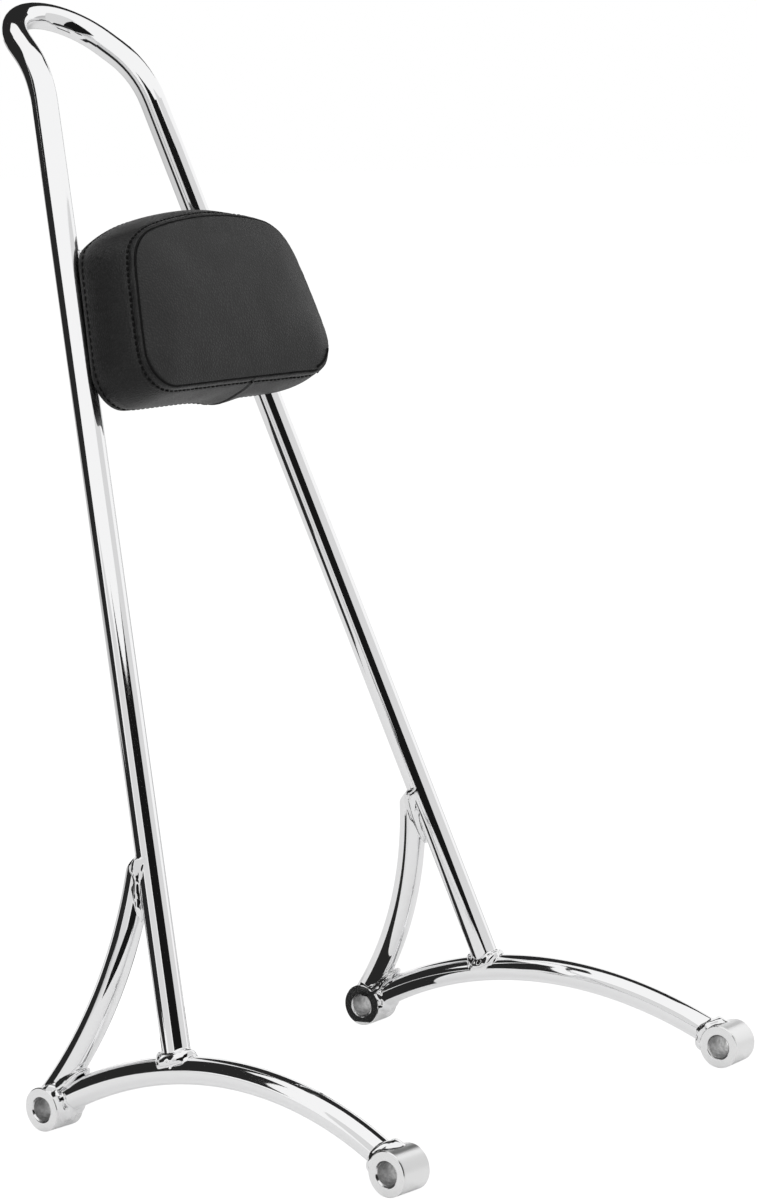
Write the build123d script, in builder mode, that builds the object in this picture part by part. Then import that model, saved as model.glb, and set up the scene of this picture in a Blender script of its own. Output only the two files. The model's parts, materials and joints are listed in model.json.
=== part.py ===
"""Sissy bar: a bent round-bar hoop on arched side rails, with struts, drilled bungs and a padded backrest.

Millimetres. X points forwards, Y to the left, Z up. The bar stands on its four bungs at Z = 0, and the
origin is the middle of its footprint. Each side frame (rail, strut and leg) is flat: it leans inwards
towards the hoop's top and opens a little towards the front.
"""
import os
from math import asin, atan2, cos, degrees, radians, sin, sqrt, tan

from build123d import *

# Round bar, bungs and welds
bar_diameter = 15.875
bung_diameter = 25.4
bung_length = 21.5
bung_bore = 13.0
bung_bore_chamfer = 0.9
bung_edge_chamfer = 0.5
weld_leg = 3.2
weld_face_margin = 0.6
cope_gap = 0.15

# Side frames
rail_spacing = 311.0
rail_span = 256.0
rail_height = 34.7
rail_toe = 2.9

# Hoop
leg_foot_setback = 34.4
leg_lean = 16.5
leg_length = 584.5
hoop_width = 90.0
kick_angle = 35.3
kick_radius = 62.0
crown_leg = 29.5
crown_taper = 16.0

# Struts
strut_foot_setback = 7.0
strut_top_height = 120.0
strut_leg_offset = 6.2
strut_radius = 258.0
strut_tip_slant = 45.0

# Pad plate
plate_thickness = 3.2
plate_bottom = 142.0
plate_top = 221.0
plate_gap = 0.3
plate_edge_inset = 5.0

# Backrest pad, with heights measured up the legs' plane from pad_datum
pad_datum = 246.0
pad_bottom = 123.5
pad_front_lift = 3.0
pad_back_height = 112.5
pad_front_height = 98.0
pad_width = 174.0
pad_side_slope = 11.8
pad_back_arch = 18.0
pad_front_arch = 9.0
pad_back_corner = 14.0
pad_front_corner = 26.0
pad_bottom_corner = 20.0
pad_seam_depth = 54.0
pad_puff = 2.5
pad_crown = 6.0
pad_crown_width = 34.0
pad_crown_steps = 3
cover_thickness = 1.2
cover_hem = 16.0
panel_thickness = 1.2
panel_margin = 5.0
board_thickness = 9.0

# Pad fasteners
bolt_spacing = 70.0
bolt_height = 58.0
bolt_diameter = 6.0
bolt_head_diameter = 10.5
bolt_head_height = 3.4
bolt_head_round = 2.0
bolt_socket = 4.0
bolt_socket_depth = 2.0
bolt_tip = 3.0
washer_diameter = 14.0
washer_thickness = 1.4
hole_clearance = 1.0
thread_clearance = 0.2
tee_barrel_wall = 1.2
tee_flange_diameter = 19.0
tee_flange_thickness = 1.5

# Derived sizes of the side frame, in its own plane: u forwards along the rail, w up from the bung axes
bar_radius = bar_diameter / 2
bung_radius = bung_diameter / 2
half_span = rail_span / 2
rail_arc_radius = (half_span**2 + rail_height**2) / (2 * rail_height)
leg_foot_w = rail_height - rail_arc_radius + sqrt(rail_arc_radius**2 - leg_foot_setback**2)
lean_sin, lean_cos = sin(radians(leg_lean)), cos(radians(leg_lean))
toe_sin, toe_cos = sin(radians(rail_toe)), cos(radians(rail_toe))


def leg_point(height, behind=0.0):
    """Point of the side frame at a height along the leg's axis, moved rearwards square to the leg."""
    u = -leg_foot_setback - lean_sin * height - lean_cos * behind
    w = leg_foot_w + lean_cos * height - lean_sin * behind
    return u, w


# The frame leans in as far as the hoop's width at the kick bends asks for
kick_u, kick_w = leg_point(leg_length)
tilt = asin((rail_spacing / 2 + kick_u * toe_sin - hoop_width / 2) / (kick_w * toe_cos))

# Crown of the hoop: both legs run on past the kick bends, and would meet at the crown point
legs_lean = atan2(lean_sin * toe_cos - lean_cos * sin(tilt) * toe_sin, lean_cos * cos(tilt))
crown_lean = legs_lean + radians(kick_angle)
crown_reach = hoop_width / 2 / tan(radians(crown_taper))
arch_half_width = hoop_width / 2 - crown_leg * sin(radians(crown_taper))
arch_radius = arch_half_width / cos(radians(crown_taper))
arch_height = crown_reach - arch_radius / sin(radians(crown_taper)) + arch_radius

# The footprint's middle is the origin
front_reach = half_span * toe_cos + bung_radius * toe_cos + (bung_length / 2 - bung_edge_chamfer) * toe_sin
kick_x = kick_u * toe_cos + kick_w * sin(tilt) * toe_sin
rear_reach = kick_x - arch_height * sin(crown_lean) - bar_radius
frame_x = -(front_reach + rear_reach) / 2


def side_plane(side):
    """Plane of one side frame: side is -1 on the right and 1 on the left."""
    along = Vector(toe_cos, side * toe_sin, 0)
    inward = Vector(toe_sin, -side * toe_cos, 0)
    upward = Vector(0, 0, 1) * cos(tilt) + inward * sin(tilt)
    middle = (frame_x, side * rail_spacing / 2, bung_radius)
    return Plane(origin=middle, x_dir=along, z_dir=along.cross(upward))


def bung_plane(side, u):
    """Plane across a bung's axis, with its normal pointing outwards."""
    centre = side_plane(side).from_local_coords(Vector(u, 0, 0))
    return Plane(origin=centre, x_dir=(0, 0, 1), z_dir=(-toe_sin, side * toe_cos, 0))


def leg_plane(side, height):
    """Plane square to a leg at a height along it, with its local x forwards."""
    frame = side_plane(side)
    along = frame.y_dir * lean_cos - frame.x_dir * lean_sin
    centre = frame.from_local_coords(Vector(*leg_point(height), 0))
    return Plane(origin=centre, x_dir=along.cross(frame.z_dir), z_dir=along)


def turned_bar(frame, arc, radius, overrun=0.0):
    """Round bar along an arc that runs anticlockwise in a frame, and on past its end by an overrun."""
    centre = arc.arc_center
    with BuildPart() as bar:
        with BuildSketch(Plane(origin=arc @ 0, x_dir=centre - arc @ 0, z_dir=arc % 0)):
            Circle(radius)
        revolve(axis=Axis(centre, frame.z_dir), revolution_arc=degrees((arc.length + overrun) / arc.radius))
    return bar.part


def rail_bar(side, radius):
    """Arched rail of a given bar radius, from one bung axis to the other."""
    frame = side_plane(side)
    with BuildLine(frame) as path:
        ThreePointArc((half_span, 0), (0, rail_height), (-half_span, 0))
    return turned_bar(frame, path.edge(), radius)


def strut_arc(side):
    """Axis of a strut, from the rear bung's height to its tip on the leg."""
    foot = (-half_span - strut_foot_setback, 0)
    tip = leg_point(strut_top_height, strut_leg_offset)
    with BuildLine(side_plane(side)) as path:
        RadiusArc(foot, tip, -strut_radius)
    return path.edge()


def strut_bar(side, radius):
    """Curved strut of a given bar radius, cut off at its slanted tip."""
    frame = side_plane(side)
    arc = strut_arc(side)
    slant = radians(strut_tip_slant)
    tip_plane = Plane(origin=arc @ 1, z_dir=frame.y_dir * cos(slant) - frame.x_dir * sin(slant))
    with BuildPart() as bar:
        add(turned_bar(frame, arc, radius, bar_diameter))
        split(bisect_by=tip_plane, keep=Keep.BOTTOM)
    return bar.part


def strut_front(side):
    """Plane along the foot of a strut's axis, facing forwards."""
    arc = strut_arc(side)
    return Plane(origin=arc @ 0, z_dir=(arc % 0).cross(side_plane(side).z_dir))


def leg_bar(side, radius, low, high):
    """Straight stretch of a leg between two heights along it."""
    with BuildPart() as bar:
        with BuildSketch(leg_plane(side, low)):
            Circle(radius)
        extrude(amount=high - low)
    return bar.part


def bung_blank(side, u, radius, length):
    """Undrilled bung of a given radius and length."""
    with BuildPart() as blank:
        with BuildSketch(bung_plane(side, u)):
            Circle(radius)
        extrude(amount=length / 2, both=True)
    return blank.part


def save(part, name):
    """Label a finished piece and write it."""
    part.label = name
    export_step(part, f"parts/{name}.step")


os.makedirs("parts", exist_ok=True)
sides = {"right": -1, "left": 1}
bung_places = {"front": half_span, "rear": -half_span}
bead_radius = bar_radius + weld_leg
bead_bung_length = bung_length - 2 * weld_face_margin

# Bungs, with the bore chamfered at both mouths
for side_name, side in sides.items():
    for place, u in bung_places.items():
        with BuildPart() as bung:
            with BuildSketch(bung_plane(side, u)):
                Circle(bung_radius)
                Circle(bung_bore / 2, mode=Mode.SUBTRACT)
            extrude(amount=bung_length / 2, both=True)
            rims = bung.edges().filter_by(GeomType.CIRCLE).sort_by(SortBy.RADIUS)
            chamfer(rims[:2], bung_bore_chamfer)
            chamfer(rims[-2:], bung_edge_chamfer)
        save(bung.part, f"{side_name}_{place}_bung")

# Rails, coped to the bungs
for side_name, side in sides.items():
    with BuildPart() as rail:
        add(rail_bar(side, bar_radius))
        for u in bung_places.values():
            add(bung_blank(side, u, bung_radius, bung_length), mode=Mode.SUBTRACT)
    save(rail.part, f"{side_name}_rail")

# Hoop, one bar bent at the kicks and round the top, coped to the rails
feet = {side: side_plane(side).from_local_coords(Vector(*leg_point(0), 0)) for side in sides.values()}
kicks = {side: side_plane(side).from_local_coords(Vector(kick_u, kick_w, 0)) for side in sides.values()}
crown_x = kicks[1].X - crown_reach * sin(crown_lean)
crown_z = kicks[1].Z + crown_reach * cos(crown_lean)
with BuildPart() as hoop:
    with BuildLine() as hoop_path:
        FilletPolyline(
            feet[-1], kicks[-1], (crown_x, 0, crown_z), kicks[1], feet[1],
            radius=[kick_radius, arch_radius, kick_radius],
        )
    with BuildSketch(leg_plane(-1, 0)):
        Circle(bar_radius)
    sweep()
    for side in sides.values():
        add(rail_bar(side, bar_radius + cope_gap), mode=Mode.SUBTRACT)
save(hoop.part, "hoop_bar")

# Struts, coped to the leg, the rail and the rear bung
strut_reach = strut_top_height + 3 * bar_diameter
for side_name, side in sides.items():
    with BuildPart() as strut:
        add(strut_bar(side, bar_radius))
        add(leg_bar(side, bar_radius + cope_gap, 0, strut_reach), mode=Mode.SUBTRACT)
        add(rail_bar(side, bar_radius + cope_gap), mode=Mode.SUBTRACT)
        add(bung_blank(side, -half_span, bung_radius + cope_gap, bung_length), mode=Mode.SUBTRACT)
    save(strut.part, f"{side_name}_strut")

# Weld beads: what lies within a weld leg of both bars, outside the bars themselves
for side_name, side in sides.items():
    rail_blank = rail_bar(side, bar_radius)
    rail_bead = rail_bar(side, bead_radius)
    strut_blank = strut_bar(side, bar_radius)
    strut_bead = strut_bar(side, bead_radius)
    leg_blank = leg_bar(side, bar_radius, 0, strut_reach)
    rear_blank = bung_blank(side, -half_span, bung_radius, bung_length)
    rear_bead = bung_blank(side, -half_span, bung_radius + weld_leg, bead_bung_length)
    rear_mouths = bung_blank(side, -half_span, bung_radius, bung_length + 2 * bar_diameter)

    with BuildPart() as leg_weld:
        add(leg_bar(side, bead_radius, bar_radius / 2, 2 * bar_diameter))
        add(rail_bead, mode=Mode.INTERSECT)
        add(leg_blank, mode=Mode.SUBTRACT)
        add(rail_blank, mode=Mode.SUBTRACT)
    save(leg_weld.part, f"{side_name}_leg_weld")

    with BuildPart() as strut_tip_weld:
        add(leg_bar(side, bead_radius, bar_diameter, strut_top_height))
        add(strut_bead, mode=Mode.INTERSECT)
        add(leg_blank, mode=Mode.SUBTRACT)
        add(strut_blank, mode=Mode.SUBTRACT)
    save(strut_tip_weld.part, f"{side_name}_strut_tip_weld")

    with BuildPart() as front_weld:
        add(bung_blank(side, half_span, bung_radius + weld_leg, bead_bung_length))
        add(rail_bead, mode=Mode.INTERSECT)
        add(bung_blank(side, half_span, bung_radius, bung_length), mode=Mode.SUBTRACT)
        add(rail_blank, mode=Mode.SUBTRACT)
    save(front_weld.part, f"{side_name}_front_bung_weld")

    with BuildPart() as strut_foot_weld:
        add(rear_bead)
        add(rail_bead)
        add(strut_bead, mode=Mode.INTERSECT)
        add(rear_mouths, mode=Mode.SUBTRACT)
        add(rail_blank, mode=Mode.SUBTRACT)
        add(strut_blank, mode=Mode.SUBTRACT)
        split(bisect_by=strut_front(side), keep=Keep.TOP)
    save(strut_foot_weld.part, f"{side_name}_strut_foot_weld")

    with BuildPart() as rear_weld:
        add(rear_bead)
        add(rail_bead, mode=Mode.INTERSECT)
        add(rear_blank, mode=Mode.SUBTRACT)
        add(rail_blank, mode=Mode.SUBTRACT)
        add(strut_bead, mode=Mode.SUBTRACT)
    save(rear_weld.part, f"{side_name}_rear_bung_weld")

# Pad plate and pad are drawn parallel to the legs: local x to the left, local y up the legs, depth forwards
legs_up = Vector(-sin(legs_lean), 0, cos(legs_lean))
legs_normal = Vector(cos(legs_lean), 0, sin(legs_lean))
datum = (feet[1] + feet[-1]) * 0.5 + legs_up * pad_datum
legs_rise = (kicks[1] - feet[1]).dot(legs_up)


def pad_plane(depth):
    """Plane parallel to the legs at a depth in front of their axes."""
    return Plane(origin=datum + legs_normal * depth, x_dir=(0, 1, 0), z_dir=legs_normal)


def leg_half_width(height):
    """Distance from the middle to a leg's axis at a height above the pad's datum."""
    return feet[1].Y + (hoop_width / 2 - feet[1].Y) * (pad_datum + height) / legs_rise


def plate_outline(low, high):
    """Plate between two heights, its edges bedding on the inner front of the legs."""
    low_half = leg_half_width(low) - plate_edge_inset
    high_half = leg_half_width(high) - plate_edge_inset
    Polygon((-low_half, low), (low_half, low), (high_half, high), (-high_half, high), align=None)


plate_face = bar_radius + plate_gap
plate_back = plate_face - plate_thickness
bolt_places = [(end * bolt_spacing / 2, pad_bottom + bolt_height) for end in (-1, 1)]
with BuildPart() as plate:
    with BuildSketch(pad_plane(plate_face)):
        plate_outline(plate_bottom, plate_top)
        with Locations(*bolt_places):
            Circle((bolt_diameter + hole_clearance) / 2, mode=Mode.SUBTRACT)
    extrude(amount=-plate_thickness)
    for side in sides.values():
        add(leg_bar(side, bar_radius + cope_gap, pad_datum, leg_length), mode=Mode.SUBTRACT)
save(plate.part, "pad_plate")

# Plate welds, along the back of the plate's two edges
for side_name, side in sides.items():
    with BuildPart() as plate_weld:
        with BuildSketch(pad_plane(plate_back)):
            plate_outline(plate_bottom + weld_leg, plate_top - weld_leg)
        extrude(amount=-weld_leg)
        add(leg_bar(side, bead_radius, pad_datum, leg_length), mode=Mode.INTERSECT)
        add(leg_bar(side, bar_radius, pad_datum, leg_length), mode=Mode.SUBTRACT)
    save(plate_weld.part, f"{side_name}_plate_weld")

# Depths of the pad's layers, from the plate forwards
hem_back = plate_face + panel_thickness
board_back = hem_back + cover_thickness
board_front = board_back + board_thickness


def pad_outline(depth, inset):
    """D-shaped outline of the pad at a depth, pulled in by an inset."""
    share = min((depth - hem_back) / (pad_seam_depth - hem_back), 1)
    rounding = 1 - 2 * inset / pad_front_height
    height = pad_back_height + (pad_front_height - pad_back_height) * share
    arch = (pad_back_arch + (pad_front_arch - pad_back_arch) * share) * rounding
    top_corner = (pad_back_corner + (pad_front_corner - pad_back_corner) * share) * rounding
    base = pad_bottom + pad_front_lift * share
    low, high = base + inset, base + height - inset
    shoulder = high - arch
    slope = radians(pad_side_slope)
    low_half = pad_width / 2 - inset / cos(slope) - (low - pad_bottom) * tan(slope)
    high_half = low_half - (shoulder - low) * tan(slope)
    with BuildSketch(pad_plane(depth)) as outline:
        with BuildLine():
            Polyline((-high_half, shoulder), (-low_half, low), (low_half, low), (high_half, shoulder))
            ThreePointArc((high_half, shoulder), (0, high), (-high_half, shoulder))
        make_face()
        fillet(outline.vertices().group_by(Axis.Y)[-1], top_corner)
        fillet(outline.vertices().group_by(Axis.Y)[0], pad_bottom_corner * rounding)
    return outline.sketch


def pad_body(back, inset):
    """Pad from a back depth to its crowned front, with puffed sides, all faces pulled in by an inset."""
    seam = pad_seam_depth - inset
    shares = [step / pad_crown_steps for step in range(pad_crown_steps + 1)]
    rises = [pad_crown * (1 - (1 - share) ** 2) for share in shares]
    crown = [pad_outline(seam + rise, inset + pad_crown_width * share)
             for rise, share in zip(rises, shares)]
    middle = pad_outline((back + seam) / 2, inset - pad_puff)
    with BuildPart() as body:
        loft(sections=[pad_outline(back, inset), middle, crown[0]], ruled=True)
        loft(sections=crown, ruled=True)
    return body.part


# Pad cover: sewn shell with a hem turned in behind the board
with BuildPart() as cover:
    add(pad_body(hem_back, 0))
    add(pad_body(board_back, cover_thickness), mode=Mode.SUBTRACT)
    extrude(pad_outline(hem_back, cover_hem), amount=cover_thickness, mode=Mode.SUBTRACT)
save(cover.part, "pad_cover")

# Back panel over the hem
with BuildPart() as panel:
    extrude(pad_outline(hem_back, panel_margin), amount=-panel_thickness)
    with BuildSketch(pad_plane(hem_back)):
        with Locations(*bolt_places):
            Circle((bolt_diameter + hole_clearance) / 2)
    extrude(amount=-panel_thickness, mode=Mode.SUBTRACT)
save(panel.part, "pad_back_panel")

# Board, bored for the tee nuts' barrels
barrel_radius = (bolt_diameter + thread_clearance) / 2 + tee_barrel_wall
with BuildPart() as board:
    add(pad_body(board_back, cover_thickness))
    split(bisect_by=pad_plane(board_front), keep=Keep.BOTTOM)
    with BuildSketch(pad_plane(board_back)):
        with Locations(*bolt_places):
            Circle(barrel_radius + thread_clearance / 2)
    extrude(amount=board_thickness, mode=Mode.SUBTRACT)
save(board.part, "pad_board")

# Foam, relieved round the tee nuts and the bolt tips
foam_relief = max(tee_flange_thickness, bolt_tip) + hole_clearance
with BuildPart() as foam:
    add(pad_body(board_back, cover_thickness))
    split(bisect_by=pad_plane(board_front), keep=Keep.TOP)
    with BuildSketch(pad_plane(board_front)):
        with Locations(*bolt_places):
            Circle((tee_flange_diameter + hole_clearance) / 2)
    extrude(amount=foam_relief, mode=Mode.SUBTRACT)
save(foam.part, "pad_foam")

# Tee nuts, flange on the foam side of the board
with BuildPart() as tee_nuts:
    with BuildSketch(pad_plane(board_front)):
        with Locations(*bolt_places):
            Circle(barrel_radius)
    extrude(amount=-(board_thickness - hole_clearance))
    with BuildSketch(pad_plane(board_front)):
        with Locations(*bolt_places):
            Circle(tee_flange_diameter / 2)
    extrude(amount=tee_flange_thickness)
    with BuildSketch(pad_plane(board_back)):
        with Locations(*bolt_places):
            Circle((bolt_diameter + thread_clearance) / 2)
    extrude(amount=board_thickness + tee_flange_thickness, mode=Mode.SUBTRACT)
save(tee_nuts.part, "pad_tee_nuts")

# Washers behind the plate
with BuildPart() as washers:
    with BuildSketch(pad_plane(plate_back)):
        with Locations(*bolt_places):
            Circle(washer_diameter / 2)
            Circle((bolt_diameter + hole_clearance / 2) / 2, mode=Mode.SUBTRACT)
    extrude(amount=-washer_thickness)
save(washers.part, "pad_washers")

# Button-head bolts with a hexagon socket
head_seat = plate_back - washer_thickness
with BuildPart() as bolts:
    with BuildSketch(pad_plane(head_seat)):
        with Locations(*bolt_places):
            Circle(bolt_diameter / 2)
    extrude(amount=board_front + bolt_tip - head_seat)
    with BuildSketch(pad_plane(head_seat)):
        with Locations(*bolt_places):
            Circle(bolt_head_diameter / 2)
    extrude(amount=-bolt_head_height)
    head_backs = bolts.faces().sort_by(Axis((0, 0, 0), legs_normal))[:2]
    fillet(head_backs.edges(), bolt_head_round)
    with BuildSketch(pad_plane(head_seat - bolt_head_height)):
        with Locations(*bolt_places):
            RegularPolygon(bolt_socket / 2, 6, major_radius=False)
    extrude(amount=bolt_socket_depth, mode=Mode.SUBTRACT)
save(bolts.part, "pad_bolts")
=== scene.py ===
import json
from math import asin, atan2, cos, exp, pi, radians, sin, sqrt, tan, tanh

import bmesh
import bpy
from mathutils import Matrix, Vector, noise
from mathutils.bvhtree import BVHTree
from mathutils.kdtree import KDTree

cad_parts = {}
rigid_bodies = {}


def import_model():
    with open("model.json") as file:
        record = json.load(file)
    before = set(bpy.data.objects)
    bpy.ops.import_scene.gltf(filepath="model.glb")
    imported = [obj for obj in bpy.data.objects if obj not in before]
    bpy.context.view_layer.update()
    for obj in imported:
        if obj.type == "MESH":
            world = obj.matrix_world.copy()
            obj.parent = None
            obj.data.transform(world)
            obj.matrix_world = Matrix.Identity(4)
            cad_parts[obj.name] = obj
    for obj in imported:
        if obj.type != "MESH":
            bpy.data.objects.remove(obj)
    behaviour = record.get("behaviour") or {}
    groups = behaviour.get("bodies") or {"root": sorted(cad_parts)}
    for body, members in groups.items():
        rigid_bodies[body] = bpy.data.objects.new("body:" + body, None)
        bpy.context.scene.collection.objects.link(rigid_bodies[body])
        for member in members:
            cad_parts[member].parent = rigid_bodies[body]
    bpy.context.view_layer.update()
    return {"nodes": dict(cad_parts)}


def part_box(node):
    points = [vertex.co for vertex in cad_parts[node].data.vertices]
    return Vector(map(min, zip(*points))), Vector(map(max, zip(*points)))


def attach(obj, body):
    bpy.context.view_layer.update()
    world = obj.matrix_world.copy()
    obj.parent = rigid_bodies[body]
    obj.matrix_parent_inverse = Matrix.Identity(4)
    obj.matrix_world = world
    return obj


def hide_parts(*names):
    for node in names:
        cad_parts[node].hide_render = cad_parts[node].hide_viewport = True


# Sissy bar: chromed hoop, rails and struts, drilled bungs, welds and a sewn backrest pad.
# Metres; X points forwards, Y to the left, Z up.
for leftover in list(bpy.data.objects):
    bpy.data.objects.remove(leftover)
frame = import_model()
MM = 0.001

# Camera, as fitted to the photograph
CAMERA_PLACE = Vector((1.46277, -1.83401, 0.58407))
CAMERA_YAW, CAMERA_PITCH, CAMERA_ROLL = radians(37.472), radians(7.211), radians(-2.102)
CAMERA_LENS, CAMERA_SENSOR = 122.36, 36.0

# Bungs
BUNG_AXIS_TURN = asin(0.050593)
BUNG_BORE, BUNG_RADIUS = 6.5 * MM, 12.7 * MM
BUNG_HALF_LENGTH = 10.75 * MM
BUNG_CENTRES = {
    "right_front": Vector((0.180802, -0.161976, 0.0127)),
    "right_rear": Vector((-0.074870, -0.149024, 0.0127)),
    "left_front": Vector((0.180802, 0.161976, 0.0127)),
    "left_rear": Vector((-0.074870, 0.149024, 0.0127))}

# Backrest pad, in its own frame: X across, Y up the legs, Z forwards from them, in millimetres
PAD_DATUM = Vector((-0.049951, 0.0, 0.280758))
LEGS_LEAN = radians(16.2501)
PAD_BOTTOM, PAD_WIDTH, PAD_SIDE_SLOPE, PAD_FRONT_LIFT = 123.5, 174.0, radians(11.8), 3.0
# Pairs are for the back and for the front
PAD_HEIGHT, PAD_ARCH, PAD_TOP_CORNER = (112.5, 98.0), (18.0, 9.0), (14.0, 26.0)
PAD_BOTTOM_CORNER = 20.0
PAD_HEM, PAD_SEAM = 9.4375, 54.0
PAD_CROWN, PAD_CROWN_WIDTH, PAD_BULGE = 5.3, 34.0, 1.9
PAD_LEFT_BOW, PAD_RIGHT_BOW = 4.2, 0.5
PAD_COLUMNS = 128
# Rings of the cover: insets of those on the front panel, and the number in the turned-in hem
PANEL_INSETS, HEM_RINGS = (0.6, 2.4, 6.0), 5
# The boxing's join: columns beside it, and its way across as start, slope and bend from seam to hem
JOIN_LIPS = (1.1, 2.6)
JOIN_CURVE = (6.7, 27.0, -29.7)
# Stitch lines from the seam and from the hem, and how deep the sewing presses each line
TOPSTITCH, HEM_STITCH = 5.5, 4.2
SEAM_PRESS, SEAM_LIP, SEAM_RIDGE, TOPSTITCH_PRESS, HEM_PRESS = 1.7, 0.25, 0.35, 0.8, 0.35
JOIN_PRESS, JOIN_LIP = 1.2, 0.9
# Cloth simulation: its frames, and how far the front panel and the boxing may swell
PUFF_FRAMES, PANEL_SWELL, BOXING_SWELL = 20, 2.6, 1.6
# Puckers along the seam: nearest and farthest way behind it, their height and how close they stand
PUCKER_BAND, PUCKER_HEIGHT, PUCKER_SCALE = (0.6, 9.0), 0.28, (0.16, 0.16, 0.5)
# Where the cover is full or slack: middle of the place, its reach and the push
PAD_FILLS = {
    "full top": ((24, 229, 38), (40, 14, 15), (0, 2.2, 0)),
    "slack upper corner": ((-66, 214, 54), (20, 24, 14), (0.9, -0.5, 0)),
    "full lower corner": ((74, 132, 42), (14, 13, 30), (2.2, -1.6, 0)),
    "full underside": ((50, 124, 32), (40, 12, 22), (0, -1.4, 0)),
    "slack beside the join": ((12, 124, 18), (13, 12, 12), (0, -2.8, 0))}


# Small tools
def only(piece):
    """Selects one piece alone and makes it active."""
    if bpy.context.object and bpy.context.object.mode != "OBJECT":
        bpy.ops.object.mode_set(mode="OBJECT")
    bpy.ops.object.select_all(action="DESELECT")
    piece.select_set(True)
    bpy.context.view_layer.objects.active = piece


def finish_with(piece, kind, **settings):
    """Adds a modifier to a piece and applies it."""
    only(piece)
    modifier = piece.modifiers.new(kind.title(), kind)
    for key, value in settings.items():
        setattr(modifier, key, value)
    bpy.ops.object.modifier_apply(modifier=modifier.name)


def spot_tree(points):
    """Search tree over points, which finds the number of the nearest one."""
    tree = KDTree(len(points))
    for place, point in enumerate(points):
        tree.insert(point, place)
    tree.balance()
    return tree


def wear(piece, material):
    """Gives a piece one material."""
    piece.data.materials.clear()
    piece.data.materials.append(material)


# Shader tools
def add_node(tree, kind, inputs=None, **settings):
    """Adds a shader node, with values or links for its inputs."""
    made = tree.nodes.new(kind)
    for key, value in settings.items():
        setattr(made, key, value)
    for key, value in (inputs or {}).items():
        if isinstance(value, bpy.types.NodeSocket):
            tree.links.new(value, made.inputs[key])
        else:
            made.inputs[key].default_value = value
    return made


def math(tree, operation, *values):
    """Adds a Math node and returns its result."""
    return add_node(tree, "ShaderNodeMath", dict(enumerate(values)), operation=operation).outputs[0]


def ramp(tree, value, low, high, to_low, to_high):
    """Maps a range of values to another, held at its ends."""
    inputs = {"Value": value, "From Min": low, "From Max": high, "To Min": to_low, "To Max": to_high}
    return add_node(tree, "ShaderNodeMapRange", inputs).outputs[0]


def blend_colour(tree, share, first, second):
    """Mixes two colours by a share."""
    return add_node(tree, "ShaderNodeMix", {0: share, 6: first, 7: second}, data_type="RGBA").outputs[2]


def start_group(name, sockets_in, sockets_out):
    """Starts a node group with named sockets and returns its tree, inputs and output node."""
    tree = bpy.data.node_groups.new(name, "ShaderNodeTree")
    for label, kind in sockets_in:
        tree.interface.new_socket(label, in_out="INPUT", socket_type=kind)
    for label, kind in sockets_out:
        tree.interface.new_socket(label, in_out="OUTPUT", socket_type=kind)
    return tree, tree.nodes.new("NodeGroupInput").outputs, tree.nodes.new("NodeGroupOutput")


def start_material(name):
    """Starts a material and returns its tree, its Principled shader and object coordinates."""
    material = bpy.data.materials.new(name)
    material.use_nodes = True
    tree = material.node_tree
    place = add_node(tree, "ShaderNodeTexCoord").outputs["Object"]
    return material, tree, tree.nodes["Principled BSDF"], place


def grey(level):
    """Neutral colour of one level."""
    return (level, level, level, 1.0)


def noise_field(tree, place, scale, detail):
    """Cloudy noise over a surface."""
    return add_node(tree, "ShaderNodeTexNoise", {"Vector": place, "Scale": scale, "Detail": detail})


VALUE, VECTOR = "NodeSocketFloat", "NodeSocketVector"

# Polishing marks: slow ripple and haze of polished and plated steel
polish_tree, polish_in, polish_out = start_group(
    "polishing_marks", (("Place", VECTOR), ("Ripple", VALUE), ("Shine", VALUE), ("Haze", VALUE)),
    (("Height", VALUE), ("Roughness", VALUE)))
ripple = noise_field(polish_tree, polish_in["Place"], polish_in["Ripple"], 1.0).outputs["Fac"]
haze = noise_field(polish_tree, polish_in["Place"], 260.0, 3.0).outputs["Fac"]
dulled = math(polish_tree, "MULTIPLY_ADD", haze, polish_in["Haze"], polish_in["Shine"])
polish_tree.links.new(ripple, polish_out.inputs["Height"])
polish_tree.links.new(dulled, polish_out.inputs["Roughness"])

# Vinyl grain: pebbled cells with fine creases between them; its Shade output darkens the colour in the
# creases, which is painted shade
grain_tree, grain_in, grain_out = start_group(
    "vinyl_grain", (("Place", VECTOR), ("Cells", VALUE)),
    (("Height", VALUE), ("Shade", VALUE), ("Patch", VALUE)))
warp = noise_field(grain_tree, grain_in["Place"], 320.0, 2.0)
bent_place = add_node(grain_tree, "ShaderNodeVectorMath", {
    0: warp.outputs["Color"], 1: (0.0012, 0.0012, 0.0012), 2: grain_in["Place"]},
    operation="MULTIPLY_ADD").outputs[0]
cells = add_node(grain_tree, "ShaderNodeTexVoronoi", {
    "Vector": bent_place, "Scale": grain_in["Cells"]}, feature="DISTANCE_TO_EDGE")
pebbles = ramp(grain_tree, cells.outputs["Distance"], 0.0, 0.3, 0.0, 1.0)
pores = noise_field(grain_tree, grain_in["Place"], 2200.0, 2.0).outputs["Fac"]
patches = noise_field(grain_tree, grain_in["Place"], 45.0, 3.0).outputs["Fac"]
grain_tree.links.new(math(grain_tree, "MULTIPLY_ADD", pores, 0.35, pebbles), grain_out.inputs["Height"])
# Painted crease shade: low in the creases, high on the pebbles
grain_tree.links.new(pebbles, grain_out.inputs["Shade"])
grain_tree.links.new(patches, grain_out.inputs["Patch"])

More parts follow.
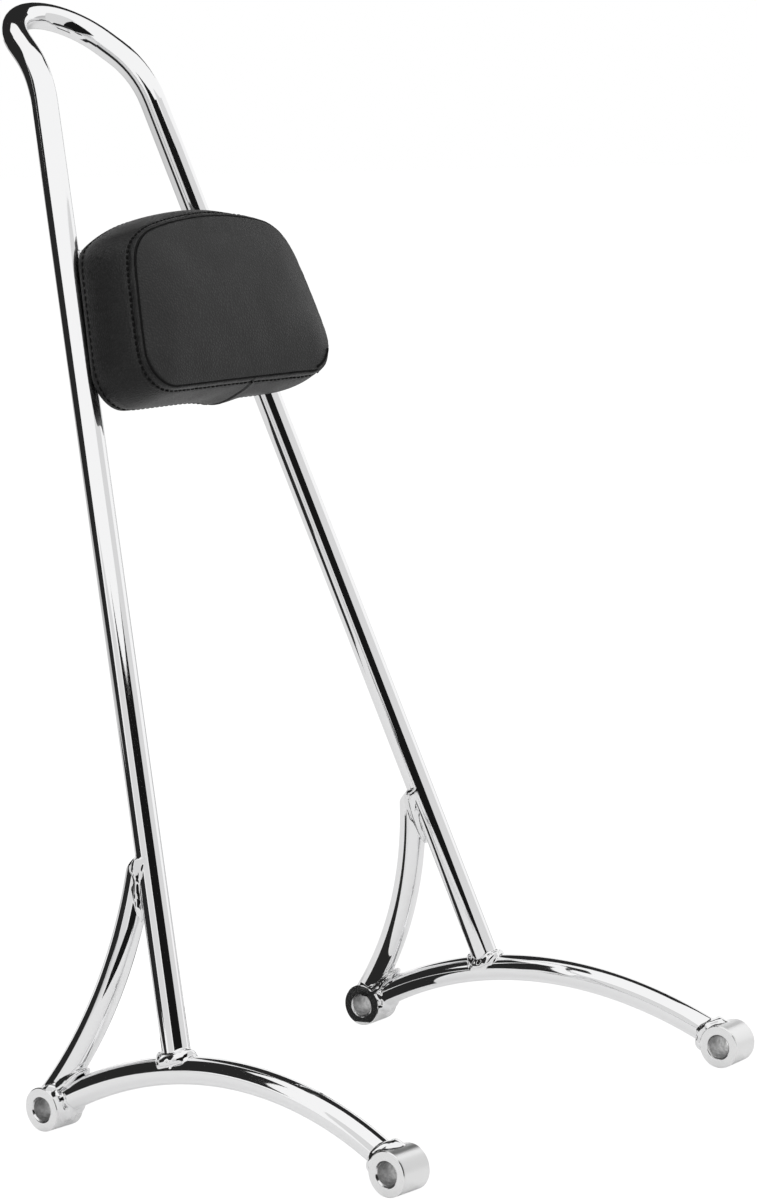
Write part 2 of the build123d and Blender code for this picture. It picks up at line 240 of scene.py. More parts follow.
# Turned rings: the lathe's fine rings about a local Y axis
ring_tree, ring_in, ring_out = start_group(
    "turned_rings", (("Place", VECTOR), ("Pitch", VALUE)), (("Height", VALUE), ("Radius", VALUE)))
axes = add_node(ring_tree, "ShaderNodeSeparateXYZ", {"Vector": ring_in["Place"]}).outputs
squares = [math(ring_tree, "POWER", axes[label], 2.0) for label in ("X", "Z")]
radius = math(ring_tree, "SQRT", math(ring_tree, "ADD", *squares))
wander = noise_field(ring_tree, ring_in["Place"], 400.0, 2.0).outputs["Fac"]
turns = math(ring_tree, "DIVIDE", math(ring_tree, "MULTIPLY_ADD", wander, 0.0002, radius), ring_in["Pitch"])
waves = math(ring_tree, "SINE", math(ring_tree, "MULTIPLY", turns, 2 * pi))
ring_tree.links.new(waves, ring_out.inputs["Height"])
ring_tree.links.new(radius, ring_out.inputs["Radius"])


def use_group(tree, group, **inputs):
    """Places a node group in a material."""
    return add_node(tree, "ShaderNodeGroup", inputs, node_tree=group).outputs


def bump(tree, shader, height, strength, distance):
    """Bumps a shader's surface by a height."""
    made = add_node(tree, "ShaderNodeBump", {"Height": height, "Strength": strength, "Distance": distance})
    tree.links.new(made.outputs[0], shader.inputs["Normal"])


def chrome(name, colour, ripple_scale, depth, shine, haze_share):
    """Chrome plate over polished steel."""
    material, tree, shader, place = start_material(name)
    marks = use_group(tree, polish_tree, Place=place, Ripple=ripple_scale, Shine=shine, Haze=haze_share)
    shader.inputs["Base Color"].default_value = colour
    shader.inputs["Metallic"].default_value = 1.0
    tree.links.new(marks["Roughness"], shader.inputs["Roughness"])
    bump(tree, shader, marks["Height"], 1.0, depth)
    return material


bar_chrome = chrome(
    "bar_chrome", (0.90, 0.90, 0.905, 1), ripple_scale=28.0, depth=0.00005, shine=0.02, haze_share=0.05)
weld_chrome = chrome(
    "weld_chrome", (0.88, 0.88, 0.885, 1), ripple_scale=120.0, depth=0.00005, shine=0.03, haze_share=0.06)
plate_chrome = chrome(
    "plate_chrome", (0.86, 0.86, 0.865, 1), ripple_scale=60.0, depth=0.00003, shine=0.06, haze_share=0.08)


def bung_turn(centre):
    """Turn of a bung's axis away from straight across."""
    return BUNG_AXIS_TURN if centre.y > 0 else -BUNG_AXIS_TURN


def bung_metal(name, centre):
    """Chromed bung with turned rings, a rolled edge and a dull drilled bore."""
    material, tree, shader, place = start_material(name)
    local = add_node(tree, "ShaderNodeMapping", {
        "Vector": place, "Location": centre, "Rotation": (0, 0, bung_turn(centre))},
        vector_type="TEXTURE").outputs[0]
    rings = use_group(tree, ring_tree, Place=local, Pitch=1.1 * MM)
    stains = noise_field(tree, local, 420.0, 4.0).outputs["Fac"]
    in_bore = ramp(tree, rings["Radius"], BUNG_BORE + 0.05 * MM, BUNG_BORE + 0.3 * MM, 1.0, 0.0)
    drilled = blend_colour(tree, ramp(tree, stains, 0.35, 0.65, 0.0, 1.0), grey(0.42), grey(0.68))
    tree.links.new(blend_colour(tree, in_bore, grey(0.86), drilled), shader.inputs["Base Color"])
    shader.inputs["Metallic"].default_value = 1.0
    outside = ramp(tree, rings["Radius"], BUNG_RADIUS - 0.4 * MM, BUNG_RADIUS - 0.1 * MM, 0.16, 0.3)
    bore_dulled = math(tree, "MULTIPLY", in_bore, 0.5)
    tree.links.new(math(tree, "MAXIMUM", outside, bore_dulled), shader.inputs["Roughness"])
    rolled = ramp(tree, rings["Radius"], BUNG_BORE + 0.1 * MM, BUNG_BORE + 1.3 * MM, 0.0, 1.0)
    bump(tree, shader, math(tree, "MULTIPLY_ADD", rings["Height"], 0.006, rolled), 1.0, 0.0005)
    return material


def pad_vinyl():
    """Black satin vinyl with a leather grain, and painted shade that darkens the grain's creases."""
    material, tree, shader, place = start_material("pad_vinyl")
    grain = use_group(tree, grain_tree, Place=place, Cells=560.0)
    worn = blend_colour(tree, ramp(tree, grain["Patch"], 0.35, 0.7, 0.0, 1.0), grey(0.010), grey(0.016))
    # Painted shade: the colour goes near black in the grain's creases and takes the patchy tone on the
    # pebbles
    tree.links.new(blend_colour(tree, grain["Shade"], grey(0.006), worn), shader.inputs["Base Color"])
    tree.links.new(ramp(tree, grain["Patch"], 0.3, 0.75, 0.5, 0.42), shader.inputs["Roughness"])
    shader.inputs["Specular IOR Level"].default_value = 0.42
    bump(tree, shader, grain["Height"], 0.8, 0.0002)
    return material


def stitch_thread():
    """Black twisted thread."""
    material, tree, shader, place = start_material("stitch_thread")
    twist = add_node(tree, "ShaderNodeTexWave", {
        "Vector": place, "Scale": 900.0, "Distortion": 1.0}).outputs["Fac"]
    tree.links.new(blend_colour(tree, twist, grey(0.004), grey(0.010)), shader.inputs["Base Color"])
    shader.inputs["Roughness"].default_value = 0.8
    shader.inputs["Specular IOR Level"].default_value = 0.12
    bump(tree, shader, twist, 0.4, 0.0001)
    return material


def pad_foam():
    """Open-celled foam inside the pad."""
    material, tree, shader, place = start_material("pad_foam")
    bubbles = add_node(tree, "ShaderNodeTexVoronoi", {"Vector": place, "Scale": 900.0}).outputs["Distance"]
    buff = blend_colour(tree, bubbles, (0.78, 0.71, 0.52, 1), (0.60, 0.53, 0.36, 1))
    tree.links.new(buff, shader.inputs["Base Color"])
    shader.inputs["Roughness"].default_value = 0.9
    bump(tree, shader, bubbles, 0.6, 0.0006)
    return material


def pad_board():
    """Plywood board inside the pad."""
    material, tree, shader, place = start_material("pad_board")
    rings = add_node(tree, "ShaderNodeTexWave", {
        "Vector": place, "Scale": 60.0, "Distortion": 5.0, "Detail": 3.0}, bands_direction="Y").outputs["Fac"]
    birch = blend_colour(tree, rings, (0.56, 0.40, 0.24, 1), (0.42, 0.28, 0.15, 1))
    tree.links.new(birch, shader.inputs["Base Color"])
    shader.inputs["Roughness"].default_value = 0.65
    bump(tree, shader, rings, 0.3, 0.0002)
    return material


def back_panel():
    """Pressed black fibre panel behind the pad."""
    material, tree, shader, place = start_material("back_panel")
    fibres = noise_field(tree, place, 700.0, 4.0).outputs["Fac"]
    tree.links.new(blend_colour(tree, fibres, grey(0.012), grey(0.03)), shader.inputs["Base Color"])
    tree.links.new(ramp(tree, fibres, 0.3, 0.7, 0.5, 0.7), shader.inputs["Roughness"])
    bump(tree, shader, fibres, 0.4, 0.00025)
    return material


def zinc_plate():
    """Zinc-plated bolts, washers and tee nuts."""
    material, tree, shader, place = start_material("zinc_plate")
    spangle = noise_field(tree, place, 500.0, 4.0).outputs["Fac"]
    zinc = blend_colour(tree, spangle, (0.50, 0.51, 0.53, 1), (0.68, 0.69, 0.70, 1))
    tree.links.new(zinc, shader.inputs["Base Color"])
    shader.inputs["Metallic"].default_value = 1.0
    tree.links.new(ramp(tree, spangle, 0.3, 0.7, 0.25, 0.42), shader.inputs["Roughness"])
    bump(tree, shader, spangle, 0.2, 0.0001)
    return material


# Camera
def place_camera():
    """Camera at the photograph's angle."""
    level = cos(CAMERA_PITCH)
    forward = Vector((-sin(CAMERA_YAW) * level, cos(CAMERA_YAW) * level, -sin(CAMERA_PITCH)))
    right = Vector((cos(CAMERA_YAW), sin(CAMERA_YAW), 0))
    up = right.cross(forward)
    across = right * cos(CAMERA_ROLL) + up * sin(CAMERA_ROLL)
    upright = up * cos(CAMERA_ROLL) - right * sin(CAMERA_ROLL)
    bpy.ops.object.camera_add(location=CAMERA_PLACE)
    camera = bpy.context.object
    camera.name = "photo_camera"
    facing = Matrix((across, upright, -forward)).transposed().to_4x4()
    camera.matrix_world = Matrix.Translation(CAMERA_PLACE) @ facing
    camera.data.lens, camera.data.sensor_width = CAMERA_LENS, CAMERA_SENSOR
    camera.data.clip_end = 60.0
    bpy.context.scene.camera = camera


# Studio: white floor and surroundings, and pale and dark walls that only the chrome sees
STUDIO_MIDDLE = Vector((0.02, -0.13, 0.0))
# Light that each kind of wall gives off
WALL_GLOW = {"pale_wall": 0.74, "dark_wall": 0.009, "dim_wall": 0.022}
# Heights of the walls' feet and of the strips above the floor
WALL_FOOT, STRIP_LIFT = 0.001, 0.0015
# Foot and height of each pale wall
PALE_WALLS = {
    "front_pale_wall": (((0.54, -0.085), (0.54, 0.7)), 0.9),
    "right_pale_wall": (((-0.264, -0.7), (0.16, -0.7)), 0.55)}
# Turn in degrees and reach of the foot of the wall before the camera, then reach and height of its top
CAMERA_WALL = (
    (-70, 0.34), (-60, 0.37), (-50, 0.42), (-40, 0.45), (-30, 0.40), (-18, 0.37), (-6, 0.37), (6, 0.40))
CAMERA_WALL_TOP = (1.09, 0.9)
# Wall at the right rear: turn of its foot, turn of its top and height of its foot, from point to point
RIGHT_REAR_WALL = (
    (-152, -152, WALL_FOOT), (-146, -149, WALL_FOOT), (-140, -146, WALL_FOOT), (-134, -143, 0.02),
    (-130, -141, 0.1), (-120.5, -138, 0.11))
# Reach of its foot, and reach and height of its top
RIGHT_REAR_REACH, RIGHT_REAR_TOP = 0.45, (0.62, 0.93)
# Turns and top of the low wall beside it
LOW_WALL_TURNS, LOW_WALL_TOP = (-174, -166.5, -159, -151.5), 0.2
# Far wall: its reach, the height that its angles start from, then turn, lowest and highest angle in degrees
FAR_REACH, EYE_HEIGHT = 3.0, 0.1
REAR_WALL = (
    (-268, 28, 65), (-240, 25, 65), (-215, 25, 65), (-201, 20, 62), (-196, 3, 60), (-180, 2.5, 58),
    (-165, 2.5, 52), (-150, 1, 50), (-140, 1, 48))
# Inner and outer edges of the strips on the floor
REAR_STRIP = (((-0.03, 0.134), (-0.09, 0.0), (-0.14, -0.12)), ((-0.13, 0.14), (-0.19, 0.0), (-0.25, -0.1)))
RIGHT_STRIP = (((0.26, -0.22), (0.12, -0.31), (0.02, -0.38), (-0.04, -0.46), (-0.04, -0.66)),
               ((0.5, -0.27), (0.45, -0.45), (0.3, -0.6), (0.12, -0.66), (0.05, -0.68)))
# Place, size and power of each lamp
LAMPS = {"key_lamp": ((0.9, -0.9, 1.7), 1.4, 16.0), "fill_lamp": ((-0.9, 0.9, 1.8), 1.6, 10.0)}
LAMP_AIM = Vector((0, 0, 0.3))


def glow(name, level):
    """Even light of one level."""
    material = bpy.data.materials.new(name)
    material.use_nodes = True
    tree = material.node_tree
    tree.nodes.remove(tree.nodes["Principled BSDF"])
    light = add_node(tree, "ShaderNodeEmission", {"Color": grey(1.0), "Strength": level})
    tree.links.new(light.outputs[0], tree.nodes["Material Output"].inputs["Surface"])
    return material


def studio_wall(name, material, bottom, top):
    """Wall between a bottom line and a top line, seen only in reflections."""
    bpy.ops.mesh.primitive_grid_add(x_subdivisions=len(bottom) - 1, y_subdivisions=1, size=2)
    wall = bpy.context.object
    wall.name = name
    spots = sorted(wall.data.vertices, key=lambda v: (round(v.co.y, 4), round(v.co.x, 4)))
    for vertex, spot in zip(spots, bottom + top):
        vertex.co = spot
    wear(wall, material)
    wall.visible_camera = wall.visible_diffuse = wall.visible_shadow = wall.visible_transmission = False


def line_at(spots, height):
    """Line through spots on the floor, at one height."""
    return [Vector((*spot, height)) for spot in spots]


def compass(turn, reach, height):
    """Point at a turn in degrees and a reach from the middle of the studio."""
    return STUDIO_MIDDLE + Vector((cos(radians(turn)) * reach, sin(radians(turn)) * reach, height))


def far_spot(turn, climb):
    """Point on the far wall at a turn and at an angle above the floor, in degrees."""
    return compass(turn, FAR_REACH, EYE_HEIGHT + FAR_REACH * tan(radians(climb)))


def white_surroundings():
    """White world, plain to the eye and in the chrome, and a softer light on the rest."""
    world = bpy.data.worlds.new("white_surroundings")
    bpy.context.scene.world = world
    world.use_nodes = True
    world.cycles.sampling_method = "NONE"
    tree = world.node_tree
    path = add_node(tree, "ShaderNodeLightPath").outputs
    mirrored = math(tree, "MAXIMUM", path["Is Glossy Ray"], path["Is Transmission Ray"])
    seen = math(tree, "MAXIMUM", path["Is Camera Ray"], mirrored)
    tree.links.new(ramp(tree, seen, 0.0, 1.0, 0.45, 1.0), tree.nodes["Background"].inputs["Strength"])
    tree.nodes["Background"].inputs["Color"].default_value = grey(1.0)


def pale_floor():
    """Plain floor, near white to the eye, that takes the object's shadow."""
    bpy.ops.mesh.primitive_grid_add(x_subdivisions=8, y_subdivisions=8, size=40)
    floor = bpy.context.object
    floor.name = "pale_floor"
    material = bpy.data.materials.new("pale_floor")
    material.use_nodes = True
    tree = material.node_tree
    tree.nodes.remove(tree.nodes["Principled BSDF"])
    path = add_node(tree, "ShaderNodeLightPath").outputs
    shade = ramp(tree, path["Is Camera Ray"], 0.0, 1.0, 0.8, 0.16)
    to_eye = math(tree, "MULTIPLY", path["Is Camera Ray"], 0.96)
    shine = math(tree, "MULTIPLY_ADD", path["Is Glossy Ray"], 0.16, to_eye)
    matt = add_node(tree, "ShaderNodeBsdfDiffuse", {"Color": shade})
    light = add_node(tree, "ShaderNodeEmission", {"Strength": shine})
    both = add_node(tree, "ShaderNodeAddShader", {0: matt.outputs[0], 1: light.outputs[0]})
    tree.links.new(both.outputs[0], tree.nodes["Material Output"].inputs["Surface"])
    wear(floor, material)


def mirrored_walls():
    """Walls and floor strips that the chrome mirrors."""
    pale, dark, dim = [glow(name, level) for name, level in WALL_GLOW.items()]
    for name, (foot, height) in PALE_WALLS.items():
        studio_wall(name, pale, line_at(foot, 0), line_at(foot, height))
    studio_wall("camera_dark_wall", dark, [compass(turn, reach, WALL_FOOT) for turn, reach in CAMERA_WALL],
                [compass(turn, *CAMERA_WALL_TOP) for turn, reach in CAMERA_WALL])
    studio_wall("right_rear_dim_wall", dim,
                [compass(turn, RIGHT_REAR_REACH, foot) for turn, top_turn, foot in RIGHT_REAR_WALL],
                [compass(top_turn, *RIGHT_REAR_TOP) for turn, top_turn, foot in RIGHT_REAR_WALL])
    studio_wall("right_rear_low_wall", dim,
                [compass(turn, RIGHT_REAR_REACH, WALL_FOOT) for turn in LOW_WALL_TURNS],
                [compass(turn, RIGHT_REAR_REACH, LOW_WALL_TOP) for turn in LOW_WALL_TURNS])
    studio_wall("rear_dim_wall", dim, [far_spot(turn, low) for turn, low, high in REAR_WALL],
                [far_spot(turn, high) for turn, low, high in REAR_WALL])
    strips = (("rear_floor_strip", dim, REAR_STRIP), ("right_floor_strip", dark, RIGHT_STRIP))
    for name, material, (inner, outer) in strips:
        studio_wall(name, material, line_at(inner, STRIP_LIFT), line_at(outer, STRIP_LIFT))


def soft_lamps():
    """Two large lamps, which the chrome doesn't mirror."""
    for name, (place, size, power) in LAMPS.items():
        aim = (LAMP_AIM - Vector(place)).to_track_quat("-Z", "Y").to_euler()
        bpy.ops.object.light_add(type="AREA", location=place, rotation=aim)
        lamp = bpy.context.object
        lamp.name = name
        lamp.data.size, lamp.data.energy = size, power
        lamp.visible_glossy = False


def build_studio():
    """Surroundings, floor, walls and lamps."""
    white_surroundings()
    pale_floor()
    mirrored_walls()
    soft_lamps()
    bpy.context.scene.view_settings.view_transform = "Standard"


# Finishes of the carried-over nodes
def dress_nodes():
    """Gives each CAD node its finish."""
    for name in ("hoop_bar", "right_rail", "left_rail", "right_strut", "left_strut"):
        wear(frame["nodes"][name], bar_chrome)
    wear(frame["nodes"]["pad_plate"], plate_chrome)
    for name, centre in BUNG_CENTRES.items():
        wear(frame["nodes"][f"{name}_bung"], bung_metal(f"{name}_bung_metal", centre))
    wear(frame["nodes"]["pad_foam"], pad_foam())
    wear(frame["nodes"]["pad_board"], pad_board())
    wear(frame["nodes"]["pad_back_panel"], back_panel())
    zinc = zinc_plate()
    for name in ("pad_tee_nuts", "pad_washers", "pad_bolts"):
        wear(frame["nodes"][name], zinc)


# Welds: room round the plain bead, fineness of the new mesh and how far the lumps fade out beyond the bead
WELD_MARGIN, WELD_VOXEL, WELD_MELT = 5.0 * MM, 0.5 * MM, 1.5 * MM
# Size, height and sunk share of the lumps, and rounds of smoothing before and after them
WELD_LUMP_SIZE, WELD_LUMP_HEIGHT, WELD_LUMP_SUNK = 10.0 * MM, 3.6 * MM, 0.45
WELD_SMOOTHING = (26, 8)
# The two pieces that each kind of weld joins
WELD_JOINS = {
    "leg": ("hoop_bar", "{}_rail"), "strut_tip": ("hoop_bar", "{}_strut"),
    "strut_foot": ("{}_strut", "{}_rear_bung"), "front_bung": ("{}_rail", "{}_front_bung"),
    "rear_bung": ("{}_rail", "{}_rear_bung"), "plate": ("hoop_bar", "pad_plate")}
weld_lumps = bpy.data.textures.new("weld_lumps", "CLOUDS")
weld_lumps.noise_scale = WELD_LUMP_SIZE
weld_lumps.noise_depth = 1


def solid_copy(name):
    """Copy of a node with its doubles merged; a bung's copy has no bore."""
    if name.endswith("_bung"):
        centre = BUNG_CENTRES[name.removesuffix("_bung")]
        bpy.ops.mesh.primitive_cylinder_add(
            vertices=96, radius=BUNG_RADIUS, depth=2 * BUNG_HALF_LENGTH, location=centre,
            rotation=(pi / 2, 0, bung_turn(centre)))
        piece = bpy.context.object
        bpy.ops.object.transform_apply(location=True, rotation=True, scale=True)
        return piece
    piece = bpy.data.objects.new(f"{name}_copy", frame["nodes"][name].data.copy())
    bpy.context.scene.collection.objects.link(piece)
    only(piece)
    bpy.ops.mesh.customdata_custom_splitnormals_clear()
    bpy.ops.object.mode_set(mode="EDIT")
    bpy.ops.mesh.select_all(action="SELECT")
    bpy.ops.mesh.remove_doubles(threshold=0.000001)
    bpy.ops.object.mode_set(mode="OBJECT")
    return piece


def cut(piece, operation, tool):
    """Cuts a piece by a closed tool."""
    finish_with(piece, "BOOLEAN", operation=operation, object=tool, solver="MANIFOLD")


def weld_bead(name):
    """Smooth lumpy weld that flares into the two pieces it joins, in the place of its plain solid."""
    side, kind = name.removesuffix("_weld").split("_", 1)
    bead = solid_copy(name)
    bead.name = f"{name}_bead"
    melt = BVHTree.FromObject(bead, bpy.context.evaluated_depsgraph_get())
    low, high = (Vector(corner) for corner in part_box(name))
    margin = Vector((WELD_MARGIN, WELD_MARGIN, WELD_MARGIN))
    bpy.ops.mesh.primitive_cube_add(size=1, location=(low + high) / 2, scale=high - low + 2 * margin)
    region = bpy.context.object
    steels = [solid_copy(pattern.format(side)) for pattern in WELD_JOINS[kind]]
    stubs = []
    for steel in steels:
        stub = steel.copy()
        stub.data = steel.data.copy()
        bpy.context.scene.collection.objects.link(stub)
        cut(stub, "INTERSECT", region)
        stubs.append(stub)
    only(bead)
    for stub in stubs:
        stub.select_set(True)
    bpy.ops.object.join()
    finish_with(bead, "REMESH", mode="VOXEL", voxel_size=WELD_VOXEL)
    finish_with(bead, "SMOOTH", factor=0.5, iterations=WELD_SMOOTHING[0])
    molten = bead.vertex_groups.new(name="molten")
    for vertex in bead.data.vertices:
        melted = max(0.0, 1 - melt.find_nearest(vertex.co)[3] / WELD_MELT)
        molten.add([vertex.index], melted, "REPLACE")
    finish_with(bead, "DISPLACE", texture=weld_lumps, strength=WELD_LUMP_HEIGHT, mid_level=WELD_LUMP_SUNK,
                vertex_group="molten")
    finish_with(bead, "SMOOTH", factor=0.5, iterations=WELD_SMOOTHING[1])
    for steel in steels:
        cut(bead, "DIFFERENCE", steel)
    for tool in steels + [region]:
        bpy.data.objects.remove(tool)
    keep_largest(bead)
    bpy.ops.object.shade_smooth_by_angle(angle=radians(50))
    wear(bead, weld_chrome)
    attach(bead, "root")
    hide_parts(name)


def keep_largest(piece):
    """Deletes all of a piece but its largest island."""
    edit = bmesh.new()
    edit.from_mesh(piece.data)
    left, islands = set(edit.verts), []
    while left:
        front = [left.pop()]
        island = set(front)
        while front:
            for edge in front.pop().link_edges:
                for vertex in edge.verts:
                    if vertex in left:
                        left.remove(vertex)
                        island.add(vertex)
                        front.append(vertex)
        islands.append(island)
    islands.sort(key=len)
    for island in islands[:-1]:
        bmesh.ops.delete(edit, geom=list(island), context="VERTS")
    edit.to_mesh(piece.data)
    edit.free()


# Pad cover
def pad_section(depth, inset, skew):
    """Points round the pad's D-shaped outline at a depth, pulled in by an inset, from the join onwards."""
    share = min((depth - PAD_HEM) / (PAD_SEAM - PAD_HEM), 1.0)
    rounding = 1 - 2 * inset / PAD_HEIGHT[1]
    height, arch, corner = (a + (b - a) * share for a, b in (PAD_HEIGHT, PAD_ARCH, PAD_TOP_CORNER))
    arch, corner, low_corner = arch * rounding, corner * rounding, PAD_BOTTOM_CORNER * rounding
    base = PAD_BOTTOM + PAD_FRONT_LIFT * share
    low, high = base + inset, base + height - inset
    shoulder = high - arch
    lean = PAD_SIDE_SLOPE
    low_half = PAD_WIDTH / 2 - inset / cos(lean) - (low - PAD_BOTTOM) * tan(lean)
    high_half = low_half - (shoulder - low) * tan(lean)
    along, outward = Vector((-sin(lean), cos(lean))), Vector((cos(lean), sin(lean)))
    arch_radius = (high_half ** 2 + arch ** 2) / (2 * arch)
    arch_centre = Vector((0, high - arch_radius))
    # lower corner's centre, then the upper corner's, both on the side line moved in by their radius
    side = Vector((low_half, low))
    foot = side - outward * low_corner
    foot += along * ((low + low_corner - foot.y) / along.y)
    start = side - outward * corner - arch_centre
    middle = start.dot(along)
    reach = -middle + sqrt(middle ** 2 - start.length_squared + (arch_radius - corner) ** 2)
    shoulder_centre = start + along * reach + arch_centre
    turn = atan2(shoulder_centre.y - arch_centre.y, shoulder_centre.x)
    side_length = (shoulder_centre + outward * corner - foot - outward * low_corner).length
    lengths = [
        foot.x, low_corner * (pi / 2 + lean), side_length, corner * (turn - lean),
        arch_radius * (pi / 2 - turn)]
    half = sum(lengths)

    def spot(way):
        """Point at a way round from the bottom's middle."""
        way %= 2 * half
        mirror = -1 if way > half else 1
        left = way if mirror == 1 else 2 * half - way
        for part, length in enumerate(lengths):
            if left <= length or part == len(lengths) - 1:
                break
            left -= length
        if part == 0:
            x, y = left, low
        elif part == 2:
            x, y = foot + outward * low_corner + along * left
        else:
            centre, size, begin = ((foot, low_corner, -pi / 2), None, (shoulder_centre, corner, lean),
                                   (arch_centre, arch_radius, turn))[part - 1]
            x, y = centre + Vector((cos(begin + left / size), sin(begin + left / size))) * size
        rise = max(0.0, min(1.0, (y - low) / (high - low)))
        bow = (PAD_LEFT_BOW if mirror == 1 else PAD_RIGHT_BOW) * (0.1 + 0.9 * share) * sin(pi * rise)
        return Vector((mirror * x * (1 + bow / low_half), y, depth)) * MM

    ends = JOIN_LIPS[-1]
    free = PAD_COLUMNS - 2 * len(JOIN_LIPS)
    ways = [0.0, *JOIN_LIPS] + [ends + (2 * half - 2 * ends) * step / free for step in range(1, free)]
    ways += [2 * half - lip for lip in reversed(JOIN_LIPS)]
    return [spot(way + skew) for way in ways]


def crown_share(inset):
    """Share of the front panel's crown reached at an inset from the seam."""
    return 1 - (1 - min(inset / PAD_CROWN_WIDTH, 1)) ** 2


def pad_rows():
    """Rings of the pad from the turned-in hem round to the front panel: (depth, inset)."""
    depth = PAD_SEAM - PAD_HEM

    def bulge(way):
        return -PAD_BULGE * sin(pi * way / depth)

    hem = [(0.0, 16.0), (0.0, 6.0), (0.0, 2.0), (0.5, 0.6), (1.8, 0.1)]
    back = hem + [(3.1, 0.0), (HEM_STITCH, 0.0), (5.3, 0.0)]
    middle = [(way, bulge(way)) for way in (8.5, 12.5, 16.5, 20.5, 24.5, 28.5, 32.3, 35.6)]
    front = [(depth - way, bulge(way)) for way in (6.7, TOPSTITCH, 4.3, 2.4, 0.6, 0.0)]
    panel = [(depth + PAD_CROWN * crown_share(inset), inset) for inset in PANEL_INSETS]
    return back + middle + front + panel


# Numbers of the rings that are sewn
SEAM_ROW = len(pad_rows()) - len(PANEL_INSETS) - 1
TOPSTITCH_ROW, HEM_ROW = SEAM_ROW - 4, HEM_RINGS + 1


def fill_ring(piece, points):
    """Fills one ring of a piece with a grid of faces."""
    only(piece)
    bpy.ops.object.mode_set(mode="EDIT")
    bpy.ops.mesh.select_mode(type="EDGE")
    bpy.ops.mesh.select_all(action="DESELECT")
    edit = bmesh.from_edit_mesh(piece.data)
    tree = spot_tree(points)
    for edge in edit.edges:
        edge.select_set(edge.is_boundary and all(tree.find(v.co)[2] < 1e-6 for v in edge.verts))
    bmesh.update_edit_mesh(piece.data)
    bpy.ops.mesh.fill_grid(span=PAD_COLUMNS // 4)
    bpy.ops.object.mode_set(mode="OBJECT")


def pad_shell():
    """Closed shell of the pad in its own frame, and the vertex numbers of its rings."""
    rows = pad_rows()
    sections = []
    for way, inset in rows:
        back = max(0.0, min(1.0, 1 - way / (PAD_SEAM - PAD_HEM)))
        skew = JOIN_CURVE[0] + JOIN_CURVE[1] * back + JOIN_CURVE[2] * back ** 2
        sections.append(pad_section(PAD_HEM + way, inset, skew))
    bpy.ops.mesh.primitive_circle_add(vertices=PAD_COLUMNS, radius=0.1, fill_type="NOTHING")
    shell = bpy.context.object
    shell.name = "pad_upholstery"
    for vertex, point in zip(shell.data.vertices, sections[0]):
        vertex.co = point
    bpy.ops.object.mode_set(mode="EDIT")
    bpy.ops.mesh.select_mode(type="EDGE")
    bpy.ops.mesh.select_all(action="SELECT")
    for before, after in zip(sections, sections[1:]):
        bpy.ops.mesh.extrude_edges_move()
        tree = spot_tree(before)
        edit = bmesh.from_edit_mesh(shell.data)
        for vertex in edit.verts:
            if vertex.select:
                vertex.co = after[tree.find(vertex.co)[1]]
        bmesh.update_edit_mesh(shell.data)
    bpy.ops.object.mode_set(mode="OBJECT")
    fill_ring(shell, sections[0])
    fill_ring(shell, sections[-1])
    seam_ring = sections[SEAM_ROW]
    edge = PANEL_INSETS[-1]
    for vertex in shell.data.vertices[PAD_COLUMNS * len(rows):]:
        if vertex.co.z > PAD_SEAM * MM:
            inset = min((vertex.co - point).xy.length for point in seam_ring) / MM
            vertex.co.z = (PAD_SEAM + PAD_CROWN * crown_share(max(inset, edge))) * MM
    bpy.ops.object.mode_set(mode="EDIT")
    bpy.ops.mesh.select_all(action="SELECT")
    bpy.ops.mesh.normals_make_consistent(inside=False)
    bpy.ops.object.mode_set(mode="OBJECT")
    tree = spot_tree([vertex.co for vertex in shell.data.vertices])
    return shell, [[tree.find(point)[1] for point in section] for section in sections]


def puff_pad(shell, rings):
    """Blows the cover up as its foam does, held at seam and hem, and limits how far it moves."""
    rest = [vertex.co.copy() for vertex in shell.data.vertices]
    held = shell.vertex_groups.new(name="sewn")
    fixed = set(rings[SEAM_ROW])
    for ring in rings[:HEM_RINGS]:
        fixed.update(ring)
    fixed.update(v.index for v in shell.data.vertices if v.co.z < (PAD_HEM + 0.05) * MM)
    held.add(sorted(fixed), 1.0, "REPLACE")
    cloth = shell.modifiers.new("Cloth", "CLOTH")
    settings = cloth.settings
    settings.quality = 6
    settings.mass = 0.3
    settings.tension_stiffness = settings.compression_stiffness = 5.0
    settings.shear_stiffness = 3.0
    settings.bending_stiffness = 0.5
    settings.use_pressure = True
    settings.uniform_pressure_force = 60.0
    settings.vertex_group_mass = "sewn"
    settings.effector_weights.gravity = 0.0
    cloth.point_cache.frame_start, cloth.point_cache.frame_end = 1, PUFF_FRAMES
    for step in range(1, PUFF_FRAMES + 1):
        bpy.context.scene.frame_set(step)
    only(shell)
    bpy.ops.object.modifier_apply(modifier=cloth.name)
    bpy.context.scene.frame_set(1)
    for vertex, start in zip(shell.data.vertices, rest):
        move = vertex.co - start
        limit = (PANEL_SWELL if start.z > (PAD_SEAM + 0.1) * MM else BOXING_SWELL) * MM
        if move.length > 1e-9:
            vertex.co = start + move.normalized() * limit * tanh(move.length / limit)


def press_rows(shell, rings):
    """Presses the seam, the stitch lines and the boxing's join into the control mesh."""
    vertices = shell.data.vertices
    normals = [vertex.normal.copy() for vertex in vertices]

    def press(indices, way):
        for index in indices:
            vertices[index].co -= normals[index] * way * MM

    press(rings[SEAM_ROW], SEAM_PRESS)
    press(rings[SEAM_ROW - 1] + rings[SEAM_ROW + 1], -SEAM_LIP)
    press(rings[SEAM_ROW - 2], -SEAM_RIDGE)
    press(rings[TOPSTITCH_ROW], TOPSTITCH_PRESS)
    press(rings[HEM_ROW], HEM_PRESS)
    for ring in rings[HEM_RINGS - 1:SEAM_ROW]:
        press(ring[:1], JOIN_PRESS)
        press(ring[1:2], -JOIN_LIP)


